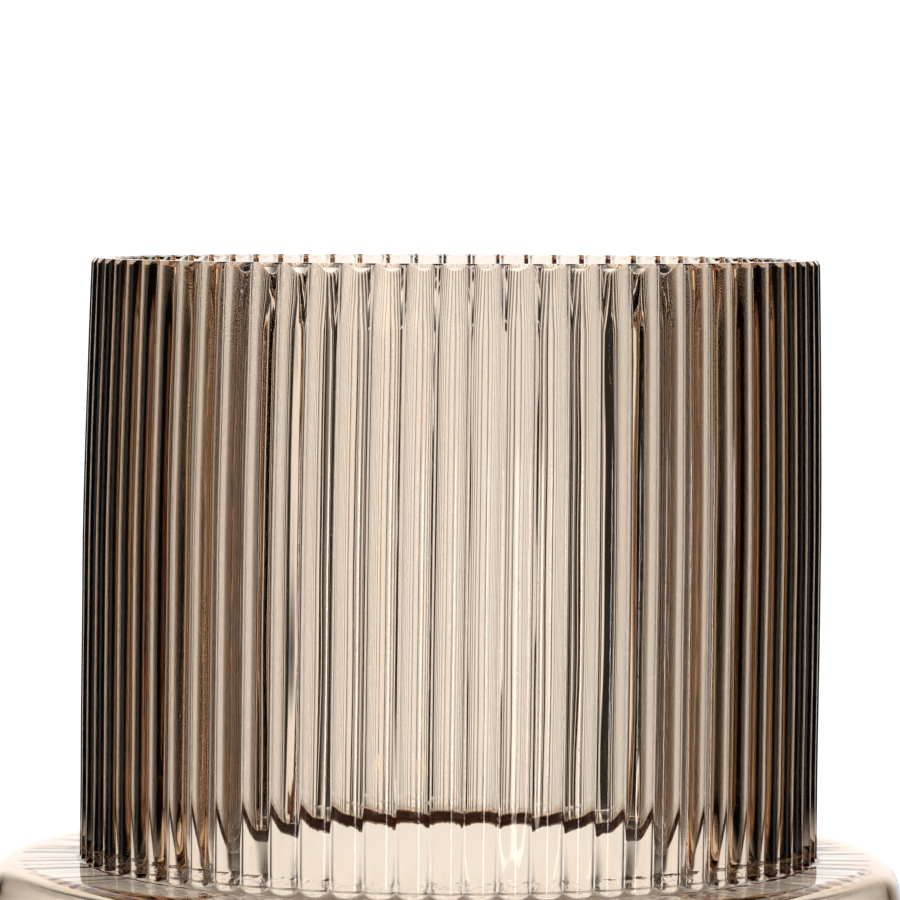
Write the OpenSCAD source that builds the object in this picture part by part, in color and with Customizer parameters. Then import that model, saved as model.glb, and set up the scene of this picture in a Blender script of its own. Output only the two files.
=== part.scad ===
/* [Overall] */
// Height of the whole vase, from the surface it stands on to the rim
height = 200; // [170:1:250]
// Thickness of the blown glass wall
wall = 3; // [2.5:0.1:6]

/* [Ribbed cylinder] */
// Width across the rib crests at the cylinder's foot
cylinder_d = 157; // [125:1:172]
// Length of the cylinder, from the flat shoulder up to the rim
cylinder_h = 127; // [80:1:150]
// Ribs around the cylinder
rib_count = 72; // [48:1:84]
// How far a rib's crest stands out from the valleys beside it
rib_depth = 1.4; // [0.8:0.1:1.7]
// Height of the polished bevel around the rim
rim_bevel = 0.9; // [0.4:0.1:1.5]
// Radius of the hollow fillet between the foot of the ribs and the shoulder
foot_fillet = 1.5; // [1:0.1:4]

/* [Shoulder bowl] */
// Width of the bowl at its widest
bowl_d = 204; // [195:1:250]
// Radius of the barrel curve of the bowl's side
side_curve = 100; // [60:1:200]
// Radius of the edge between the flat shoulder and the side
shoulder_round = 7.5; // [6.5:0.5:14]
// Radius of the edge between the side and the base
base_round = 16; // [10:0.5:20]

/* [Base] */
// Thickness of the glass floor outside the shallow hollow
floor_t = 7; // [5:0.5:10]
// Radius of the inside corner between the floor and the side
inside_round = 13; // [8:0.5:18]
// Width of the shallow hollow under the floor
push_up_d = 130; // [90:1:150]
// Depth of that hollow at the middle
push_up_depth = 2.4; // [1:0.1:3.5]

/* [Hidden] */
$fn = 96;
// Segments in each quarter of a turned outline's round stretches
quarter_steps = 10;
// How far a cutting shape runs past the glass it cuts
past = 1;
// How far the floor's piece takes in the rise of the inside corner
floor_lip = 1.5;
// How far the rim's bevel runs in for each millimetre that it runs down
bevel_slope = 0.7;

bevel_in = rim_bevel * bevel_slope;
shoulder_z = height - cylinder_h;
// The fused seam, where the fillet has turned fully upright
seam_z = shoulder_z + foot_fillet;
crest_r = cylinder_d / 2;
valley_r = crest_r - rib_depth;
inner_r = valley_r - wall;
half_pitch = 180 / rib_count;
// A round rib whose neighbours meet it exactly at the valley radius
rib_r = (pow(crest_r, 2) + pow(valley_r, 2) - 2 * crest_r * valley_r * cos(half_pitch))
    / (2 * (crest_r - valley_r * cos(half_pitch)));

widest_z = shoulder_z / 2;
// The floor is fused on here, just above where the inside corner starts to rise
floor_seam_z = floor_t + floor_lip;
bowl_r = bowl_d / 2;

// Points of an arc about a centre, from one angle to another
function arc(c, r, from, to) =
    let (n = max(4, ceil(abs(to - from) / 90 * quarter_steps)))
    [for (i = [0:n]) let (a = from + (to - from) * i / n) [c[0] + r * cos(a), c[1] + r * sin(a)]];

// Half of a turned drum's section: a barrel side with the radius side, a rounded edge with the radius top_r
// under the height top_z, and a rounded edge with the radius low_r over the height low_z
function drum_section(side, top_r, top_z, low_r, low_z) =
    let (
        side_x = bowl_r - side_curve,
        top_dz = top_z - top_r - widest_z,
        low_dz = widest_z - low_r - low_z,
        top_x = side_x + sqrt(pow(side - top_r, 2) - pow(top_dz, 2)),
        low_x = side_x + sqrt(pow(side - low_r, 2) - pow(low_dz, 2)),
        top_a = asin(top_dz / (side - top_r)),
        low_a = asin(low_dz / (side - low_r))
    )
    concat(
        [[0, low_z]],
        arc([low_x, low_z + low_r], low_r, -90, -low_a),
        arc([side_x, widest_z], side, -low_a, top_a),
        arc([top_x, top_z - top_r], top_r, top_a, 90),
        [[0, top_z]]
    );

// Half section of the glass of the whole lower body, floor included
module body_section() {
    difference() {
        polygon(drum_section(side_curve, shoulder_round, shoulder_z, base_round, 0));
        polygon(drum_section(side_curve - wall, shoulder_round - wall, shoulder_z - wall, inside_round, floor_t));
    }
}

// Section of the short neck that the cylinder is joined to, with a hollow fillet down to the shoulder
module neck_section() {
    fillet_x = crest_r + foot_fillet;
    root_z = shoulder_z - wall / 2;
    difference() {
        translate([inner_r, root_z])
            square([fillet_x - inner_r, seam_z - root_z]);
        translate([fillet_x, seam_z])
            circle(r = foot_fillet);
    }
}

// A ring that cuts the polished bevel on the outside of the rim
module rim_cut() {
    rotate_extrude()
        polygon([
            [crest_r + past, height - rim_bevel - past * rim_bevel / bevel_in],
            [crest_r - bevel_in - past * bevel_in / rim_bevel, height + past],
            [crest_r + past, height + past]
        ]);
}

// The shallow dome of air under the floor, push_up_d wide where the vase stands
module push_up() {
    dome_r = (pow(push_up_d / 2, 2) + pow(push_up_depth, 2)) / (2 * push_up_depth);
    dome_a = acos(push_up_d / 2 / dome_r);
    rotate_extrude()
        polygon(concat(
            [[0, -past], [push_up_d / 2, -past]],
            arc([0, push_up_depth - dome_r], dome_r, dome_a, 90)
        ));
}

module ribbed_cylinder() {
    color([0.72, 0.56, 0.42, 0.5])
        difference() {
            translate([0, 0, seam_z])
                linear_extrude(height = height - seam_z)
                    difference() {
                        union() {
                            // Fills between the ribs, short of the valleys' own edges
                            circle(r = valley_r - rib_depth / 2);
                            for (i = [0:rib_count - 1])
                                rotate(i * 360 / rib_count)
                                    translate([crest_r - rib_r, 0])
                                        circle(r = rib_r);
                        }
                        circle(r = inner_r);
                    }
            rim_cut();
        }
}

module shoulder_bowl() {
    color([0.76, 0.6, 0.45, 0.5])
        rotate_extrude()
            difference() {
                union() {
                    body_section();
                    neck_section();
                }
                square([inner_r, height]);
                square([bowl_d, floor_seam_z]);
            }
}

module base_pad() {
    color([0.7, 0.52, 0.38, 0.5])
        difference() {
            rotate_extrude()
                intersection() {
                    body_section();
                    square([bowl_d, floor_seam_z]);
                }
            push_up();
        }
}

ribbed_cylinder();
shoulder_bowl();
base_pad();
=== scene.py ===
"""A hand blown art glass vase: an amber ribbed cylinder fused to a smooth, flat-shouldered bowl.

The vase is three pieces of glass joined hot: the optic-ribbed cylinder, the bowl that it stands on, and the
thick floor. Each piece is a class that holds its sizes, builds its mesh and takes its finish. All of them
share one Body, which knows the places of the fused seams and how the hand left the glass a little off true.
"""

import logging
import math
from collections.abc import Callable, Sequence
from dataclasses import dataclass
from enum import Enum

import bmesh
import bpy
from mathutils import Matrix, Vector, noise


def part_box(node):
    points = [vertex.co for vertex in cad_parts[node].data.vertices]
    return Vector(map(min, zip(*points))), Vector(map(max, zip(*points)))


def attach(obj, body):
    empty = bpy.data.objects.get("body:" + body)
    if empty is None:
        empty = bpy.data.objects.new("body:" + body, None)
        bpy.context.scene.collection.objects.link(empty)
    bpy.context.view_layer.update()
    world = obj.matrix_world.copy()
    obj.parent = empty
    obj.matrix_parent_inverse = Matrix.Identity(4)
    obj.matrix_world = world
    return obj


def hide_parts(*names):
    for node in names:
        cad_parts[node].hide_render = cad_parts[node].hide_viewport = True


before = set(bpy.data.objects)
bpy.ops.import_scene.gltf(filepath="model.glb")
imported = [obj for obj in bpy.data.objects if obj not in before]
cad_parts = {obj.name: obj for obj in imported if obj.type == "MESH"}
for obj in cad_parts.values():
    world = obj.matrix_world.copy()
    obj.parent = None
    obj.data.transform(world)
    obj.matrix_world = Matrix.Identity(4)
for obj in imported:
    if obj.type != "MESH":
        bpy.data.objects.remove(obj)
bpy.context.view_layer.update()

MM = 0.001
# Points closer than this are one point
SAME = 0.001 * MM
# How far a vertex may be from a seam's height and still count as on it
ON_SEAM = 0.002 * MM
# How far inside or outside a skin a point still counts as on it
NEAR = 0.1 * MM
ROOT = "root"
log = logging.getLogger("vase")

Point = tuple[float, float]


def smooth_step(low: float, high: float, value: float) -> float:
    """Ease from 0 at low to 1 at high."""
    t = min(max((value - low) / (high - low), 0.0), 1.0)
    return t * t * (3.0 - 2.0 * t)


def soft_max(first: float, second: float, blend: float) -> float:
    """The larger of two values, with the corner between them rounded over about the size of blend."""
    return (first + second + math.hypot(first - second, blend)) / 2.0


def arc(centre: Point, radius: float, start: float, stop: float, steps: int) -> list[Point]:
    """Points along an arc.

    Args:
        centre: The arc's centre.
        radius: Its radius.
        start: The angle of the first point, in degrees.
        stop: The angle of the last point, in degrees.
        steps: How many stretches the arc has.

    Returns:
        One point more than there are stretches.
    """
    angles = [math.radians(start + (stop - start) * i / steps) for i in range(steps + 1)]
    return [(centre[0] + radius * math.cos(a), centre[1] + radius * math.sin(a)) for a in angles]


class Side(Enum):
    """Which skin of the blown wall a point lies on.

    The value shifts the slow waves, so that the two skins wander apart from each other.
    """

    OUTSIDE = 0.0
    INSIDE = 7.3


@dataclass(frozen=True)
class RibPattern:
    """The round ribs that the optic mould leaves, each meeting its neighbours in a narrow hollow valley."""

    count: int
    crest_r: float
    depth: float = 1.4 * MM
    valley_round: float = 0.3 * MM
    crest_steps: int = 16
    valley_steps: int = 4

    @property
    def half_pitch(self) -> float:
        """Half the angle from one rib to the next, in radians."""
        return math.pi / self.count

    @property
    def valley_r(self) -> float:
        """How far the bottom of a valley is from the axis."""
        return self.crest_r - self.depth

    @property
    def valley_centre_r(self) -> float:
        """How far the centre of a valley's own rounding is from the axis."""
        return self.valley_r + self.valley_round

    @property
    def rib_r(self) -> float:
        """The radius of a rib's round back, from which the valley's rounding starts without a corner."""
        valley = self.valley_centre_r
        across = valley * math.cos(self.half_pitch)
        return (valley**2 + self.crest_r**2 - 2 * across * self.crest_r - self.valley_round**2) / (
            2 * (self.crest_r + self.valley_round - across)
        )

    def one_rib(self) -> list[Point]:
        """The section of one rib, from the bottom of the valley on one side to the other's.

        Returns:
            Points across the rib, which points along X.
        """
        rib_x = self.crest_r - self.rib_r
        valley = Vector((math.cos(self.half_pitch), math.sin(self.half_pitch))) * self.valley_centre_r
        towards = valley - Vector((rib_x, 0.0))
        turn = math.degrees(math.atan2(towards.y, towards.x))
        bottom = 180.0 + math.degrees(self.half_pitch)
        crest = arc((rib_x, 0.0), self.rib_r, -turn, turn, self.crest_steps)
        upper = arc(tuple(valley), self.valley_round, 180.0 + turn, bottom, self.valley_steps)[1:]
        lower = [(x, -y) for x, y in reversed(upper)]
        return lower + crest + upper

    def radius(self, angle: float) -> float:
        """How far the ribbed surface is from the axis.

        Args:
            angle: The direction from the axis, in radians.

        Returns:
            The radius there.
        """
        pitch = 2 * self.half_pitch
        turn = abs((angle + self.half_pitch) % pitch - self.half_pitch)
        rib_x = self.crest_r - self.rib_r
        on_rib = rib_x * math.cos(turn) + math.sqrt(self.rib_r**2 - (rib_x * math.sin(turn)) ** 2)
        off_valley = self.half_pitch - turn
        reach = self.valley_round**2 - (self.valley_centre_r * math.sin(off_valley)) ** 2
        if reach <= 0.0:
            return on_rib
        in_valley = self.valley_centre_r * math.cos(off_valley) - math.sqrt(reach)
        return min(on_rib, in_valley) if on_rib > self.valley_centre_r else in_valley


@dataclass(frozen=True)
class Body:
    """Sizes and places that the pieces share, and the marks of hand work on the glass.

    The first four fields and the ribs' crest come from the frame's boxes; the rest is the glassmaker's.
    """

    rim_z: float
    seam_z: float
    floor_seam_z: float
    bowl_r: float
    ribs: RibPattern
    wall: float = 3.0 * MM
    inner_ripple: float = 0.45 * MM
    ripple_ease: float = 9.0 * MM
    shoulder_drop: float = 1.5 * MM
    fillet_r: float = 2.6 * MM
    fillet_sink: float = 0.2 * MM
    fillet_blend: float = 0.3 * MM
    seam_overlap: float = 0.05 * MM
    seam_inset: float = 0.03 * MM
    draw_in: float = 0.0165
    draw_length: float = 60.0 * MM
    draw_power: float = 1.4
    lean: float = 1.1 * MM
    lean_power: float = 1.2
    off_centre: float = 0.85 * MM
    rib_turn: float = -0.25
    # The neck's shift starts and is whole at these distances out from the crests, and down from the shoulder
    neck_reach: Point = (12.0 * MM, 4.0 * MM)
    neck_rise: Point = (9.0 * MM, 1.0 * MM)
    wave: float = 0.10 * MM
    wave_length: float = 26.0 * MM
    tool_mark: float = 0.7 * MM
    tool_mark_length: float = 2.6 * MM
    lip_reach: float = 2.0 * MM
    # The tool marks start and are whole at these distances down from the shoulder
    lip_rise: Point = (5.0 * MM, 2.0 * MM)
    bowl_wave: float = 0.22 * MM
    bowl_wave_length: float = 70.0 * MM
    still_foot: float = 6.0 * MM
    ring_steps: int = 288

    @property
    def shoulder_z(self) -> float:
        """The height of the flat shoulder."""
        return self.seam_z - self.shoulder_drop

    @property
    def inner_r(self) -> float:
        """The radius of the smooth inside of the cylinder."""
        return self.ribs.valley_r - self.wall

    def inner_radius(self, angle: float, z: float) -> float:
        """How far the cylinder's inside is from the axis: it echoes the ribs, but not at the foot and rim.

        Args:
            angle: The direction from the axis, in radians.
            z: The height.

        Returns:
            The radius there.
        """
        crest = 0.5 + 0.5 * math.cos(self.ribs.count * angle)
        on = smooth_step(self.seam_z, self.seam_z + self.ripple_ease, z)
        on *= smooth_step(self.rim_z, self.rim_z - self.ripple_ease, z)
        return self.inner_r + self.inner_ripple * crest * on

    @property
    def fillet_centre(self) -> Point:
        """Radius and height of the centre of the hollow fillet under the ribs."""
        return (self.ribs.valley_r - self.fillet_sink + self.fillet_r, self.shoulder_z + self.fillet_r)

    def fillet_radius(self, z: float) -> float:
        """How far the hollow fillet's surface is from the axis.

        Args:
            z: The height.

        Returns:
            The radius there, which stays the same above the fillet.
        """
        centre_r, centre_z = self.fillet_centre
        down = min(max(centre_z - z, 0.0), self.fillet_r)
        return centre_r - math.sqrt(self.fillet_r**2 - down**2)

    def ribbed_radius(self, angle: float, z: float) -> float:
        """How far the outside of the cylinder is from the axis, where its ribs run down into the fillet."""
        return soft_max(self.ribs.radius(angle), self.fillet_radius(z), self.fillet_blend)

    def by_hand(self, place: Vector, side: Side) -> Vector:
        """Move a point of the true shape to where the hand left it.

        Args:
            place: A point of the true, turned shape.
            side: The skin of the wall that it lies on.

        Returns:
            The point after the cylinder's turn, draw-in, offset and lean, the slow waves of blown glass,
            and the tool marks on the lip inside.
        """
        place = Matrix.Rotation(math.radians(self.rib_turn), 3, "Z") @ place
        radius = math.hypot(place.x, place.y)
        if radius < MM:
            return place
        above = max(place.z - (self.rim_z - self.draw_length), 0.0) / self.draw_length
        scale = 1.0 - self.draw_in * above**self.draw_power
        rise_from, rise_to = self.neck_rise
        reach_from, reach_to = self.neck_reach
        crest_r = self.ribs.crest_r
        on_neck = smooth_step(self.shoulder_z - rise_from, self.shoulder_z - rise_to, place.z)
        on_neck *= smooth_step(crest_r + reach_from, crest_r + reach_to, radius)
        height = max(place.z - self.shoulder_z, 0.0) / (self.rim_z - self.shoulder_z)
        shift = on_neck * (self.off_centre + self.lean * height**self.lean_power)
        offset = Vector((0.0, 0.0, side.value))
        fine = noise.noise(place / self.wave_length + offset) * self.wave * on_neck
        slow = noise.noise(place / self.bowl_wave_length + offset) * self.bowl_wave
        slow *= smooth_step(0.0, self.still_foot, place.z) * (1.0 - on_neck)
        outward = Vector((place.x, place.y, 0.0)) / radius
        moved = Vector((place.x * scale + shift, place.y * scale, place.z))
        if side is Side.INSIDE and abs(place.z - self.seam_z) > self.seam_overlap:
            marks = noise.noise(place / self.tool_mark_length) * self.tool_mark
            moved.z += marks * self.on_lip(radius, place.z)
        return moved + outward * (fine + slow)

    def on_lip(self, radius: float, z: float) -> float:
        """How far a point inside takes part in the tooled lip under the cylinder.

        Args:
            radius: Its distance from the axis.
            z: Its height.

        Returns:
            A share from 0 to 1.
        """
        rise_from, rise_to = self.lip_rise
        share = smooth_step(self.shoulder_z - rise_from, self.shoulder_z - rise_to, z)
        share *= smooth_step(self.seam_z - NEAR, self.seam_z - MM, z)
        return share * smooth_step(self.ribs.crest_r + self.lip_reach, self.inner_r + self.lip_reach, radius)


def lift(
    bm: bmesh.types.BMesh,
    edges: Sequence[bmesh.types.BMEdge],
    place: Callable[[Vector], Vector],
) -> list[bmesh.types.BMEdge]:
    """Extrude a closed ring of edges and put each new vertex in its place.

    Args:
        bm: The mesh.
        edges: The ring to extrude.
        place: Gives a new vertex's place from the place of the one it grew from.

    Returns:
        The new ring.
    """
    grown = bmesh.ops.extrude_edge_only(bm, edges=list(edges))["geom"]
    verts = {item for item in grown if isinstance(item, bmesh.types.BMVert)}
    for vert in verts:
        vert.co = place(vert.co)
    return [
        item
        for item in grown
        if isinstance(item, bmesh.types.BMEdge) and item.verts[0] in verts and item.verts[1] in verts
    ]


def at(radius_at: Callable[[float], float], z: float) -> Callable[[Vector], Vector]:
    """Make a placing rule for lift: the same angle, a radius that depends on it, and one height.

    Args:
        radius_at: Gives the radius at an angle in radians.
        z: The height.

    Returns:
        The rule.
    """

    def place(co: Vector) -> Vector:
        angle = math.atan2(co.y, co.x)
        radius = radius_at(angle)
        return Vector((radius * math.cos(angle), radius * math.sin(angle), z))

    return place


def rib_ring(bm: bmesh.types.BMesh, ribs: RibPattern, z: float) -> list[bmesh.types.BMEdge]:
    """Make a ring with the section of the ribs.

    Args:
        bm: The mesh that gets the ring.
        ribs: The pattern.
        z: The ring's height.

    Returns:
        The ring's edges.
    """
    verts = [bm.verts.new((x, y, z)) for x, y in ribs.one_rib()]
    edges = [bm.edges.new(pair) for pair in zip(verts, verts[1:])]
    bmesh.ops.spin(
        bm,
        geom=verts + edges,
        cent=(0, 0, 0),
        axis=(0, 0, 1),
        angle=2 * math.pi,
        steps=ribs.count,
        use_duplicate=True,
    )
    bmesh.ops.remove_doubles(bm, verts=bm.verts[:], dist=SAME)
    return [edge for edge in bm.edges if abs(edge.verts[0].co.z - z) < SAME]


def seam_ring(bm: bmesh.types.BMesh, body: Body) -> list[bmesh.types.BMEdge]:
    """Make the ring where the ribs meet the neck, at the upper fused seam.

    Args:
        bm: An empty mesh, which gets the ring.
        body: The shared sizes.

    Returns:
        The ring's edges.
    """
    ring = rib_ring(bm, body.ribs, body.seam_z)
    place = at(lambda a: body.ribbed_radius(a, body.seam_z), body.seam_z)
    for vert in bm.verts:
        vert.co = place(vert.co)
    return ring


def turned(bm: bmesh.types.BMesh, outline: Sequence[Point], steps: int) -> None:
    """Spin an outline of (radius, height) points once round the axis and close its poles.

    Args:
        bm: The mesh that gets the turned surface.
        outline: The points, from one end of the outline to the other.
        steps: How many stretches the turn has.
    """
    verts = [bm.verts.new((r, 0.0, z)) for r, z in outline]
    edges = [bm.edges.new(pair) for pair in zip(verts, verts[1:])]
    bmesh.ops.spin(
        bm,
        geom=verts + edges,
        cent=(0, 0, 0),
        axis=(0, 0, 1),
        angle=2 * math.pi,
        steps=steps,
        use_merge=True,
    )
    bmesh.ops.remove_doubles(bm, verts=bm.verts[:], dist=SAME)


def crease(edges: Sequence[bmesh.types.BMEdge]) -> None:
    """Keep these edges sharp when the faces beside them are shaded smooth."""
    for edge in edges:
        edge.smooth = False


def finish_piece(bm: bmesh.types.BMesh, name: str) -> bpy.types.Object:
    """Turn a closed bmesh into a smooth-shaded object at the origin, with its faces outwards.

    Args:
        bm: The finished mesh, which is freed.
        name: The object's name.

    Returns:
        The new object.
    """
    bmesh.ops.recalc_face_normals(bm, faces=bm.faces[:])
    for face in bm.faces:
        face.smooth = True
    open_edges = sum(1 for edge in bm.edges if not edge.is_manifold)
    mesh = bpy.data.meshes.new(name)
    bm.to_mesh(mesh)
    bm.free()
    piece = bpy.data.objects.new(name, mesh)
    bpy.context.scene.collection.objects.link(piece)
    log.info("%s: %d faces, %d open edges", name, len(mesh.polygons), open_edges)
    return piece


@dataclass(frozen=True)
class RibbedCylinder:
    """The upper tube: ribs outside, a smooth wall inside that faintly echoes them, and a polished rim."""

    body: Body
    rows: int = 19
    foot_rows: int = 5
    foot_h: float = 3.2 * MM
    foot_spread: float = 1.5
    bevel_h: float = 0.9 * MM
    bevel_in: float = 0.63 * MM
    bevel_rows: int = 3
    mouth_bevel: float = 0.35 * MM

    def heights(self) -> list[float]:
        """Heights of the rows between the seam and the bevel, closer together at the foot.

        Returns:
            The heights, from the lowest up.
        """
        foot = self.body.seam_z + self.foot_h
        top = self.body.rim_z - self.bevel_h
        shares = [(i / self.foot_rows) ** self.foot_spread for i in range(1, self.foot_rows)]
        low = [self.body.seam_z + self.foot_h * share for share in shares]
        return low + [foot + (top - foot) * i / self.rows for i in range(self.rows + 1)]

    def build(self) -> bpy.types.Object:
        """Build the cylinder, from the seam up the outside, over the rim and down the inside.

        Returns:
            The finished piece.
        """
        body = self.body
        bm = bmesh.new()
        start = seam_ring(bm, body)
        sharp = list(start)
        ring = start
        for z in self.heights():
            ring = lift(bm, ring, at(lambda a, z=z: body.ribbed_radius(a, z), z))
        sharp += ring
        bevel_foot = body.rim_z - self.bevel_h
        for step in range(1, self.bevel_rows + 1):
            share = step / self.bevel_rows
            cone = body.ribs.crest_r - self.bevel_in * share
            z = bevel_foot + self.bevel_h * share
            ring = lift(bm, ring, at(lambda a, cone=cone: min(body.ribs.radius(a), cone), z))
        sharp += ring
        inner = body.inner_r
        ring = lift(bm, ring, at(lambda a: inner + self.mouth_bevel, body.rim_z))
        sharp += ring
        ring = lift(bm, ring, at(lambda a: inner, body.rim_z - self.mouth_bevel))
        sharp += ring
        outside = set(bm.verts)
        for z in list(reversed(self.heights()))[1:] + [body.seam_z]:
            ring = lift(bm, ring, at(lambda a, z=z: body.inner_radius(a, z), z))
        sharp += ring
        low = body.seam_z - body.seam_overlap
        ring = lift(bm, ring, at(lambda a: inner + body.seam_inset, low))
        under = lift(bm, start, at(lambda a: body.ribbed_radius(a, body.seam_z) - body.seam_inset, low))
        sharp += ring + under
        bmesh.ops.bridge_loops(bm, edges=ring + under)
        crease(sharp)
        for vert in bm.verts:
            skin = Side.OUTSIDE if vert in outside else Side.INSIDE
            vert.co = body.by_hand(vert.co, skin)
        return finish_piece(bm, "ribbed_glass_cylinder")


@dataclass(frozen=True)
class ShoulderBowl:
    """The lower body: a short neck with a hollow fillet, a flat shoulder, and a barrel side."""

    body: Body
    neck_steps: int = 14
    edge_steps: int = 10
    side_steps: int = 16
    base_steps: int = 12
    lip_steps: int = 8
    neck_flat: float = 2.0 * MM
    side_curve: float = 100.0 * MM
    shoulder_round: float = 7.5 * MM
    base_round: float = 16.0 * MM
    inside_round: float = 13.0 * MM
    floor_t: float = 7.0 * MM
    lip_round: float = 2.0 * MM
    skin_share: float = 0.8

    def drum(self, side: float, top_r: float, top_z: float, low_r: float, low_z: float) -> list[Point]:
        """Half of a turned drum's section, from its top edge's inner end down to its low edge's.

        Args:
            side: Radius of the barrel curve of the side.
            top_r: Radius of the upper edge.
            top_z: Height of the top.
            low_r: Radius of the lower edge.
            low_z: Height of the bottom.

        Returns:
            Points of (radius, height), with each arc running into the next without a corner.
        """
        side_x = self.body.bowl_r - self.side_curve
        middle = self.body.shoulder_z / 2
        top_rise = top_z - top_r - middle
        low_drop = middle - low_r - low_z
        top_x = side_x + math.sqrt((side - top_r) ** 2 - top_rise**2)
        low_x = side_x + math.sqrt((side - low_r) ** 2 - low_drop**2)
        top_a = math.degrees(math.asin(top_rise / (side - top_r)))
        low_a = math.degrees(math.asin(low_drop / (side - low_r)))
        return (
            arc((top_x, top_z - top_r), top_r, 90.0, top_a, self.edge_steps)
            + arc((side_x, middle), side, top_a, -low_a, self.side_steps)[1:]
            + arc((low_x, low_z + low_r), low_r, -low_a, -90.0, self.base_steps)[1:]
        )

    def outer(self) -> list[Point]:
        """The outside of the whole lower body, from the shoulder's flat to the ring that it stands on."""
        return self.drum(self.side_curve, self.shoulder_round, self.body.shoulder_z, self.base_round, 0.0)

    def inner(self) -> list[Point]:
        """The inside of the whole lower body, from under the shoulder to the floor."""
        wall = self.body.wall
        return self.drum(
            self.side_curve - wall,
            self.shoulder_round - wall,
            self.body.shoulder_z - wall,
            self.inside_round,
            self.floor_t,
        )

    @staticmethod
    def cut(points: Sequence[Point], z: float) -> list[Point]:
        """The part of a falling outline above a height, ending exactly on it.

        Args:
            points: The outline, from its top down.
            z: The height to cut at.

        Returns:
            The points above, then the one on the cut.
        """
        kept = [point for point in points if point[1] > z]
        below = next(point for point in points if point[1] <= z)
        last = kept[-1]
        share = (last[1] - z) / (last[1] - below[1])
        return kept + [(last[0] + (below[0] - last[0]) * share, z)]

    def build(self) -> bpy.types.Object:
        """Build the bowl: turn its section, then bridge the ribbed neck onto it.

        Returns:
            The finished piece.
        """
        body = self.body
        low = body.floor_seam_z
        neck_edge = body.fillet_centre[0] + self.neck_flat
        under_z = body.shoulder_z - body.wall
        outer = self.cut(self.outer(), low)
        inner = self.cut(self.inner(), low)
        foot = [
            (outer[-1][0] - body.seam_inset, low - body.seam_overlap),
            (inner[-1][0] + body.seam_inset, low - body.seam_overlap),
        ]
        lip_centre = (body.inner_r + self.lip_round, under_z + self.lip_round)
        lip = arc(lip_centre, self.lip_round, 180.0, 270.0, self.lip_steps)
        rise = [(body.inner_r, body.shoulder_z + body.shoulder_drop), (body.inner_r, body.shoulder_z + MM)]
        outline = [(neck_edge, body.shoulder_z)] + outer + foot + inner[::-1] + lip[::-1] + rise[::-1]
        bm = bmesh.new()
        turned(bm, outline, body.ring_steps)
        self.join_neck(bm, self.neck())
        seams = (body.seam_z, low, low - body.seam_overlap)
        crease([e for e in bm.edges if any(all(abs(v.co.z - z) < ON_SEAM for v in e.verts) for z in seams)])
        for vert in bm.verts:
            skin = Side.INSIDE if self.is_inside(vert.co) else Side.OUTSIDE
            vert.co = body.by_hand(vert.co, skin)
        return finish_piece(bm, "bowl_glass")

    def neck(self) -> bmesh.types.BMesh:
        """Grow the ribbed outside of the neck, from the seam down the hollow fillet to the shoulder.

        Returns:
            A new bmesh with the open skin.
        """
        body = self.body
        neck = bmesh.new()
        ring = seam_ring(neck, body)
        centre_r, centre_z = body.fillet_centre
        start = math.degrees(math.asin((centre_z - body.seam_z) / body.fillet_r))
        for r, z in arc((centre_r, centre_z), body.fillet_r, 180.0 + start, 270.0, self.neck_steps)[1:]:
            rule = at(lambda a, r=r: soft_max(body.ribs.radius(a), r, body.fillet_blend), z)
            ring = lift(neck, ring, rule)
        return neck

    def join_neck(self, bm: bmesh.types.BMesh, neck: bmesh.types.BMesh) -> None:
        """Bridge the neck's two open rings to the turned bowl's.

        Args:
            bm: The turned bowl, which gets the neck.
            neck: The neck's skin, which is freed.
        """
        mesh = bpy.data.meshes.new("neck")
        neck.to_mesh(mesh)
        neck.free()
        bm.from_mesh(mesh)
        bpy.data.meshes.remove(mesh)
        open_rings = [edge for edge in bm.edges if edge.is_boundary]
        high = {e for e in open_rings if all(abs(v.co.z - self.body.seam_z) < ON_SEAM for v in e.verts)}
        bmesh.ops.bridge_loops(bm, edges=[edge for edge in open_rings if edge in high])
        bmesh.ops.bridge_loops(bm, edges=[edge for edge in open_rings if edge not in high])

    def is_inside(self, co: Vector) -> bool:
        """Whether a point is on the inner skin: nearer the hollow than the outside of the wall.

        Args:
            co: A point of the true, turned bowl.

        Returns:
            True on the inner skin.
        """
        body = self.body
        radius = math.hypot(co.x, co.y)
        if radius < body.inner_r + NEAR:
            return True
        if co.z > body.shoulder_z - NEAR:
            return False
        side_x = body.bowl_r - self.side_curve
        middle = body.shoulder_z / 2
        depth = self.side_curve - math.hypot(radius - side_x, co.z - middle)
        under = body.shoulder_z - co.z
        return min(depth, under) > self.skin_share * body.wall


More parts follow.
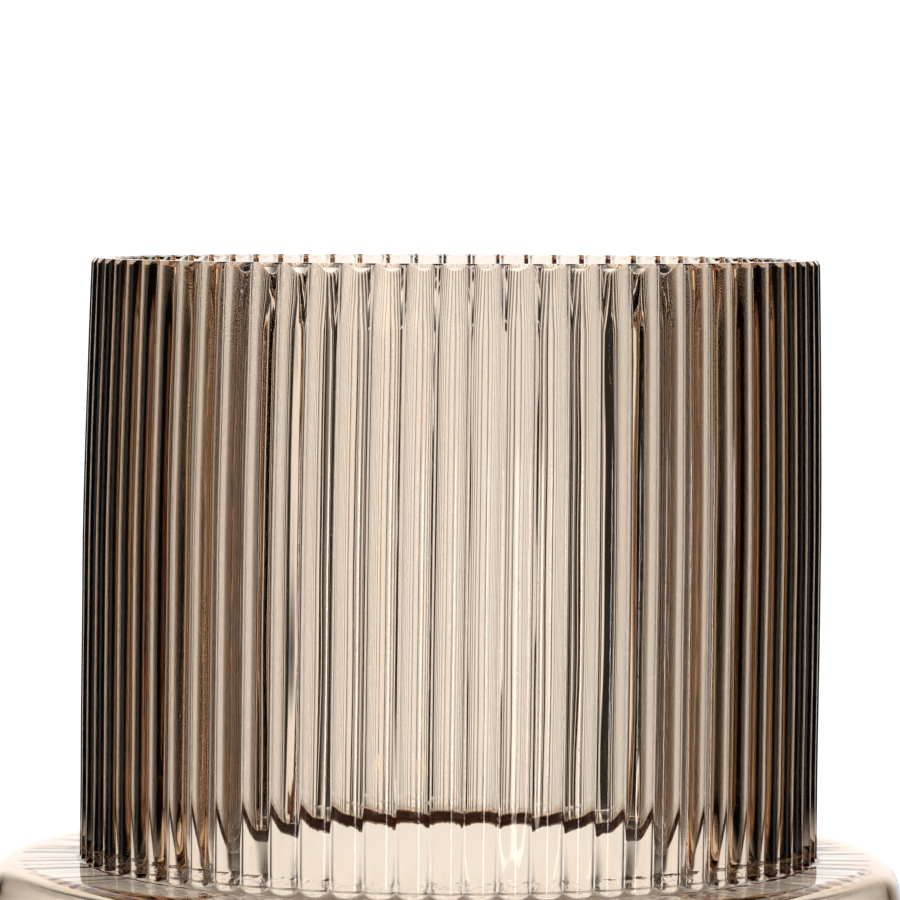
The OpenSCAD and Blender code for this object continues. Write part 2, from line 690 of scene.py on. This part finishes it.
@dataclass(frozen=True)
class BasePad:
    """The thick floor: dished inside, and hollowed underneath so that it stands on a flat ring."""

    body: Body
    bowl: ShoulderBowl
    push_up_r: float = 65.0 * MM
    push_up_depth: float = 2.4 * MM
    dome_steps: int = 12
    floor_rings: int = 4
    outer_gap: float = 0.3 * MM

    def build(self) -> bpy.types.Object:
        """Build the floor by turning its section.

        Returns:
            The finished piece.
        """
        body = self.body
        low = body.floor_seam_z
        outer = [p for p in self.bowl.outer() if p[1] < low - self.outer_gap]
        inner = [p for p in self.bowl.inner() if p[1] < low - NEAR]
        outer_edge = self.bowl.cut(self.bowl.outer(), low)[-1]
        inner_edge = self.bowl.cut(self.bowl.inner(), low)[-1]
        dome_r = (self.push_up_r**2 + self.push_up_depth**2) / (2 * self.push_up_depth)
        edge_a = math.degrees(math.acos(self.push_up_r / dome_r))
        dome = arc((0.0, self.push_up_depth - dome_r), dome_r, edge_a, 90.0, self.dome_steps)
        floor_r = inner[-1][0]
        floor = [(floor_r * i / self.floor_rings, self.bowl.floor_t) for i in range(self.floor_rings)]
        outline = floor + inner[::-1] + [inner_edge, outer_edge] + outer + dome
        bm = bmesh.new()
        turned(bm, outline, body.ring_steps)
        crease([e for e in bm.edges if all(abs(v.co.z - low) < ON_SEAM for v in e.verts)])
        for vert in bm.verts:
            within = math.hypot(vert.co.x, vert.co.y) < inner_edge[0] + NEAR
            inside = within and vert.co.z > self.bowl.floor_t - NEAR
            vert.co = body.by_hand(vert.co, Side.INSIDE if inside else Side.OUTSIDE)
        return finish_piece(bm, "floor_glass")


def node(tree: bpy.types.NodeTree, kind: str, **settings: object) -> bpy.types.Node:
    """Add a node and set its attributes.

    Args:
        tree: The tree that gets the node.
        kind: The node's type.
        **settings: Attributes of the node itself.

    Returns:
        The new node.
    """
    made = tree.nodes.new(kind)
    for name, value in settings.items():
        setattr(made, name, value)
    return made


def maths(tree: bpy.types.NodeTree, operation: str, *inputs: object) -> bpy.types.NodeSocket:
    """Add a Math node.

    Args:
        tree: The tree that gets the node.
        operation: What it works out.
        *inputs: Sockets or numbers, in order.

    Returns:
        The node's output.
    """
    made = node(tree, "ShaderNodeMath", operation=operation)
    for socket, value in zip(made.inputs, inputs):
        if isinstance(value, bpy.types.NodeSocket):
            tree.links.new(value, socket)
        else:
            socket.default_value = value
    return made.outputs[0]


def ease(
    tree: bpy.types.NodeTree,
    value: bpy.types.NodeSocket,
    low: float,
    high: float,
) -> bpy.types.NodeSocket:
    """Add a Map Range node that eases from 0 at low to 1 at high.

    Args:
        tree: The tree that gets the node.
        value: What is eased.
        low: The value that gives 0.
        high: The value that gives 1, above or below the other.

    Returns:
        The node's output.
    """
    made = node(tree, "ShaderNodeMapRange", interpolation_type="SMOOTHSTEP", clamp=True)
    tree.links.new(value, made.inputs["Value"])
    made.inputs["From Min"].default_value = min(low, high)
    made.inputs["From Max"].default_value = max(low, high)
    made.inputs["To Min"].default_value = 0.0 if low < high else 1.0
    made.inputs["To Max"].default_value = 1.0 if low < high else 0.0
    return made.outputs[0]


@dataclass(frozen=True)
class HandMarks:
    """The marks of making: upright ripples from the cold mould, and rough tool marks inside the neck."""

    body: Body
    ripple_detail: float = 2.0
    ripple_roughness: float = 0.5
    tool_scale: float = 620.0
    tool_detail: float = 3.0
    tool_reach: Point = (3.4 * MM, 2.4 * MM)
    tool_top: Point = (2.6 * MM, 1.4 * MM)
    tool_foot: float = 0.5 * MM

    def tooled(self, group: bpy.types.NodeTree, place: bpy.types.NodeSocket) -> bpy.types.NodeSocket:
        """Find where the glass was tooled: the inside of the neck, from under the shoulder past the seam.

        Args:
            group: The node group.
            place: The point on the glass.

        Returns:
            A mask of the tooled glass.
        """
        body = self.body
        parts = node(group, "ShaderNodeSeparateXYZ")
        group.links.new(place, parts.inputs[0])
        x, y, z = parts.outputs
        squares = maths(group, "ADD", maths(group, "POWER", x, 2.0), maths(group, "POWER", y, 2.0))
        radius = maths(group, "SQRT", squares)
        far, near = self.tool_reach
        above, below = self.tool_top
        under = body.shoulder_z - body.wall
        inside = ease(group, radius, body.inner_r + far, body.inner_r + near)
        foot = ease(group, z, under - self.tool_foot, under + self.tool_foot)
        top = ease(group, z, body.seam_z + above, body.seam_z + below)
        return maths(group, "MULTIPLY", inside, maths(group, "MULTIPLY", foot, top))

    def build(self) -> bpy.types.NodeTree:
        """Build the node group.

        Returns:
            A group that puts out a normal.
        """
        group = bpy.data.node_groups.new("hand_marks", "ShaderNodeTree")
        face = group.interface
        for name in ("Across", "Along", "Strength", "Depth", "Tooling"):
            face.new_socket(name, in_out="INPUT", socket_type="NodeSocketFloat")
        face.new_socket("Normal", in_out="OUTPUT", socket_type="NodeSocketVector")
        given = node(group, "NodeGroupInput")
        result = node(group, "NodeGroupOutput")
        places = node(group, "ShaderNodeTexCoord")
        scale = node(group, "ShaderNodeCombineXYZ")
        for axis, name in zip("XYZ", ("Across", "Across", "Along")):
            group.links.new(given.outputs[name], scale.inputs[axis])
        stretched = node(group, "ShaderNodeVectorMath", operation="MULTIPLY")
        group.links.new(places.outputs["Object"], stretched.inputs[0])
        group.links.new(scale.outputs[0], stretched.inputs[1])
        ripples = node(group, "ShaderNodeTexNoise")
        ripples.inputs["Scale"].default_value = 1.0
        ripples.inputs["Detail"].default_value = self.ripple_detail
        ripples.inputs["Roughness"].default_value = self.ripple_roughness
        group.links.new(stretched.outputs[0], ripples.inputs["Vector"])
        rough = node(group, "ShaderNodeTexNoise")
        rough.inputs["Scale"].default_value = self.tool_scale
        rough.inputs["Detail"].default_value = self.tool_detail
        group.links.new(places.outputs["Object"], rough.inputs["Vector"])
        tooled = self.tooled(group, places.outputs["Object"])
        marks = maths(group, "MULTIPLY", tooled, given.outputs["Tooling"])
        height = maths(group, "MULTIPLY_ADD", rough.outputs["Fac"], marks, ripples.outputs["Fac"])
        bump = node(group, "ShaderNodeBump")
        group.links.new(given.outputs["Strength"], bump.inputs["Strength"])
        group.links.new(given.outputs["Depth"], bump.inputs["Distance"])
        group.links.new(height, bump.inputs["Height"])
        group.links.new(bump.outputs[0], result.inputs["Normal"])
        return group


@dataclass(frozen=True)
class AmberGlass:
    """Clear amber soda glass, coloured through its depth."""

    name: str
    slot: str
    ripples_across: float
    ripples_along: float
    ripple_depth: float
    tooling: float = 0.0
    ripple_strength: float = 1.0
    tint: tuple[float, float, float] = (0.78, 0.50, 0.17)
    tint_density: float = 80.0
    surface: tuple[float, float, float] = (1.0, 1.0, 1.0)
    roughness: float = 0.0
    refraction: float = 1.5

    def dress(self, piece: bpy.types.Object, hand_marks: bpy.types.NodeTree) -> None:
        """Give a piece this glass.

        Args:
            piece: The piece.
            hand_marks: The shared node group of the marks of making.
        """
        material = bpy.data.materials.new(self.name)
        material.use_nodes = True
        tree = material.node_tree
        shader = tree.nodes["Principled BSDF"]
        shader.inputs["Base Color"].default_value = (*self.surface, 1.0)
        shader.inputs["Metallic"].default_value = 0.0
        shader.inputs["Roughness"].default_value = self.roughness
        shader.inputs["IOR"].default_value = self.refraction
        shader.inputs["Transmission Weight"].default_value = 1.0
        marks = node(tree, "ShaderNodeGroup", node_tree=hand_marks)
        marks.inputs["Across"].default_value = self.ripples_across
        marks.inputs["Along"].default_value = self.ripples_along
        marks.inputs["Depth"].default_value = self.ripple_depth
        marks.inputs["Strength"].default_value = self.ripple_strength
        marks.inputs["Tooling"].default_value = self.tooling
        tree.links.new(marks.outputs["Normal"], shader.inputs["Normal"])
        depth = node(tree, "ShaderNodeVolumeAbsorption")
        depth.inputs["Color"].default_value = (*self.tint, 1.0)
        depth.inputs["Density"].default_value = self.tint_density
        tree.links.new(depth.outputs[0], tree.nodes["Material Output"].inputs["Volume"])
        piece.data.materials.append(material)


@dataclass(frozen=True)
class Light:
    """A patch of light on the studio's surroundings, by direction from the vase.

    Directions are in degrees: left and right turn from straight behind the vase, low and high are heights,
    and each border fades over edge to either side.
    """

    left: float
    right: float
    low: float
    high: float
    power: float
    edge: float = 1.0

    def shine(
        self,
        tree: bpy.types.NodeTree,
        turn: bpy.types.NodeSocket,
        height: bpy.types.NodeSocket,
    ) -> bpy.types.NodeSocket:
        """Add this light to the surroundings.

        Args:
            tree: The world's nodes.
            turn: The direction's turn from straight behind.
            height: The direction's height.

        Returns:
            The light's strength in each direction.
        """
        edge = self.edge
        from_left = ease(tree, turn, self.left - edge, self.left + edge)
        to_right = ease(tree, turn, self.right + edge, self.right - edge)
        from_low = ease(tree, height, self.low - edge, self.low + edge)
        to_high = ease(tree, height, self.high + edge, self.high - edge)
        across = maths(tree, "MULTIPLY", from_left, to_right)
        up = maths(tree, "MULTIPLY", from_low, to_high)
        return maths(tree, "MULTIPLY", maths(tree, "MULTIPLY", across, up), self.power)


@dataclass(frozen=True)
class Studio:
    """A pale floor and a bright-field studio: light behind the glass, dark beside it, soft light in front."""

    rim_z: float
    axis_x: float = 0.85 * MM
    distance: float = 1135.0 * MM
    above_rim: float = 15.6 * MM
    look_down: float = 2.84
    roll: float = 0.24
    lens: float = 213.7
    sensor: float = 36.0
    nearest: float = 0.05
    floor_r: float = 0.45
    floor_steps: int = 128
    floor_fade: Point = (0.95, 0.3)
    floor_grey: float = 0.9
    floor_roughness: float = 0.9
    floor_gloss: float = 0.1
    darkest: float = 0.002
    lights: tuple[Light, ...] = (
        # The tall window behind the vase, and the faint spill around it
        Light(-21.0, 21.0, -95.0, 95.0, 1.15, edge=5.5),
        Light(-32.0, 32.0, -95.0, 95.0, 0.03, edge=6.0),
        # Two tall strips, square to the sides
        Light(82.0, 98.0, -95.0, 95.0, 0.4, edge=3.0),
        Light(-98.0, -82.0, -95.0, 95.0, 0.4, edge=3.0),
        # A small bright strip and two soft boxes in front
        Light(156.0, 161.0, -14.0, -1.0, 9.0, edge=0.6),
        Light(-166.0, -150.0, 2.0, 36.0, 2.4),
        Light(136.0, 148.0, 6.0, 34.0, 2.0),
        # The ceiling and the ground, all round
        Light(-185.0, 185.0, 57.0, 95.0, 1.3, edge=7.0),
        Light(-185.0, 185.0, -95.0, -10.0, 0.85, edge=2.0),
    )

    def camera(self) -> None:
        """Set the camera level with the rim, a little above it, with a long lens."""
        data = bpy.data.cameras.new("camera")
        data.lens = self.lens
        data.sensor_width = self.sensor
        data.clip_start = self.nearest
        camera = bpy.data.objects.new("camera", data)
        turn = Matrix.Rotation(math.radians(90.0 - self.look_down), 4, "X")
        roll = Matrix.Rotation(math.radians(self.roll), 4, "Z")
        stand = Matrix.Translation((self.axis_x, -self.distance, self.rim_z + self.above_rim))
        camera.matrix_world = stand @ turn @ roll
        bpy.context.scene.collection.objects.link(camera)
        bpy.context.scene.camera = camera

    def floor(self) -> None:
        """Lay a plain pale floor that fades into the backdrop."""
        bm = bmesh.new()
        bmesh.ops.create_circle(bm, cap_ends=True, segments=self.floor_steps, radius=self.floor_r)
        mesh = bpy.data.meshes.new("floor")
        bm.to_mesh(mesh)
        bm.free()
        floor = bpy.data.objects.new("floor", mesh)
        bpy.context.scene.collection.objects.link(floor)
        material = bpy.data.materials.new("pale_floor")
        material.use_nodes = True
        tree = material.node_tree
        shader = tree.nodes["Principled BSDF"]
        shader.inputs["Base Color"].default_value = (self.floor_grey, self.floor_grey, self.floor_grey, 1.0)
        shader.inputs["Roughness"].default_value = self.floor_roughness
        shader.inputs["Specular IOR Level"].default_value = self.floor_gloss
        places = node(tree, "ShaderNodeTexCoord")
        length = node(tree, "ShaderNodeVectorMath", operation="LENGTH")
        tree.links.new(places.outputs["Object"], length.inputs[0])
        gone, whole = self.floor_fade
        fade = ease(tree, length.outputs["Value"], gone * self.floor_r, whole * self.floor_r)
        tree.links.new(fade, shader.inputs["Alpha"])
        mesh.materials.append(material)

    def world(self) -> None:
        """Light the studio all round by direction, behind a white backdrop."""
        world = bpy.data.worlds.new("studio")
        bpy.context.scene.world = world
        world.use_nodes = True
        tree = world.node_tree
        shader = tree.nodes["Background"]
        places = node(tree, "ShaderNodeTexCoord")
        parts = node(tree, "ShaderNodeSeparateXYZ")
        tree.links.new(places.outputs["Generated"], parts.inputs[0])
        x, y, z = parts.outputs
        turn = maths(tree, "DEGREES", maths(tree, "ARCTAN2", x, y))
        height = maths(tree, "DEGREES", maths(tree, "ARCSINE", z))
        strength = self.darkest
        for light in self.lights:
            strength = maths(tree, "MAXIMUM", light.shine(tree, turn, height), strength)
        path = node(tree, "ShaderNodeLightPath")
        strength = maths(tree, "MAXIMUM", strength, path.outputs["Is Camera Ray"])
        shader.inputs["Color"].default_value = (1.0, 1.0, 1.0, 1.0)
        tree.links.new(strength, shader.inputs["Strength"])

    def render_settings(self) -> None:
        """Let light pass through every wall of the vase, and show colours plainly."""
        scene = bpy.context.scene
        scene.view_settings.view_transform = "Standard"
        scene.view_settings.look = "None"
        scene.cycles.max_bounces = 32
        scene.cycles.transmission_bounces = 28
        scene.cycles.glossy_bounces = 20
        scene.cycles.transparent_max_bounces = 16

    def build(self) -> None:
        """Set up the whole studio."""
        self.camera()
        self.floor()
        self.world()
        self.render_settings()


def measured_body() -> Body:
    """Take the shared sizes from the frame's boxes.

    Returns:
        The vase's shared sizes and places.
    """
    cylinder_low, cylinder_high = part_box("ribbed_cylinder")
    bowl_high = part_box("shoulder_bowl")[1]
    pad_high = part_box("base_pad")[1]
    return Body(
        rim_z=cylinder_high[2],
        seam_z=cylinder_low[2],
        floor_seam_z=pad_high[2],
        bowl_r=bowl_high[0],
        ribs=RibPattern(count=72, crest_r=cylinder_high[0]),
    )


def main() -> None:
    """Build the studio and the vase, piece by piece, from the top down."""
    logging.basicConfig(level=logging.INFO, format="%(name)s: %(message)s")
    body = measured_body()
    Studio(rim_z=body.rim_z).build()
    bowl = ShoulderBowl(body)
    marks = HandMarks(body).build()
    ribbed = AmberGlass("ribbed_amber_glass", "ribbed_glass", 90.0, 12.0, 0.008 * MM, tooling=30.0)
    smooth = AmberGlass("smooth_amber_glass", "bowl_glass", 90.0, 45.0, 0.02 * MM, tooling=12.0)
    thick = AmberGlass("floor_amber_glass", "base_glass", 70.0, 70.0, 0.02 * MM)
    for maker, glass, stands_for in (
        (RibbedCylinder(body), ribbed, "ribbed_cylinder"),
        (bowl, smooth, "shoulder_bowl"),
        (BasePad(body, bowl), thick, "base_pad"),
    ):
        piece = maker.build()
        glass.dress(piece, marks)
        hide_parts(stands_for)
        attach(piece, ROOT)
        log.info("%s stands for %s", piece.name, stands_for)


if __name__ == "__main__":
    main()
